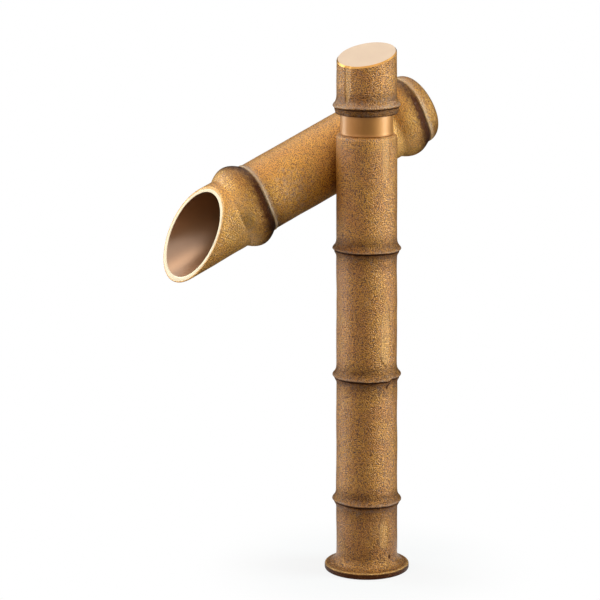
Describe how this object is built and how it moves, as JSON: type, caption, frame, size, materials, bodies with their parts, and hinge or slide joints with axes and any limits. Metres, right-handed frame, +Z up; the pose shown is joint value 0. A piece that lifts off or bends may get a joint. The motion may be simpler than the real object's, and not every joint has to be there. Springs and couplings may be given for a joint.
{
  "type": "garden faucet",
  "caption": "Quarter-turn garden pillar faucet cast as bamboo stems: ringed pillar on a flared foot, sloping slant-cut spout and a short slanted handle.",
  "frame": {"origin": "centre of the foot's underside, level with the deck that the tap stands on", "axes": "+Z up along the pillar; the spout pours towards -Y and lies beside the pillar on its -X side; +X follows by the right-hand rule"},
  "size_m": [0.0841, 0.1714, 0.3653],
  "materials": {
    "cast_bronze": "sand-cast bronze with an antique brown-gold patina",
    "polished_brass": "turned and polished",
    "turned_brass": "machined",
    "fibre": "pressed fibre sheet",
    "rubber": "moulded black rubber",
    "ceramic": "lapped alumina ceramic",
    "slip_plastic": "low-friction white plastic",
    "steel": "bright stainless steel"
  },
  "bodies": {
    "root": {"pillar": "cast_bronze", "spout": "cast_bronze", "neck_ring": "polished_brass", "headpart_body": "turned_brass", "headpart_gasket": "fibre", "seat_seal": "rubber", "fixed_disc": "ceramic", "thrust_washer": "slip_plastic", "threaded_tail": "turned_brass", "tail_seal": "fibre", "base_gasket": "rubber", "rubber_washer": "rubber", "metal_washer": "steel", "lock_nut": "turned_brass"},
    "handle": {"handle": "cast_bronze", "handle_insert": "turned_brass", "handle_set_screw": "steel", "spindle": "turned_brass", "spindle_o_rings": "rubber", "spindle_circlip": "steel", "moving_disc": "ceramic"}
  },
  "joints": [
    {"name": "handle_turn", "type": "hinge", "parent": "root", "child": "handle", "pos_m": [0, 0, 0.2786], "axis": [0, 0, 1], "range_deg": [0, 90]}
  ]
}
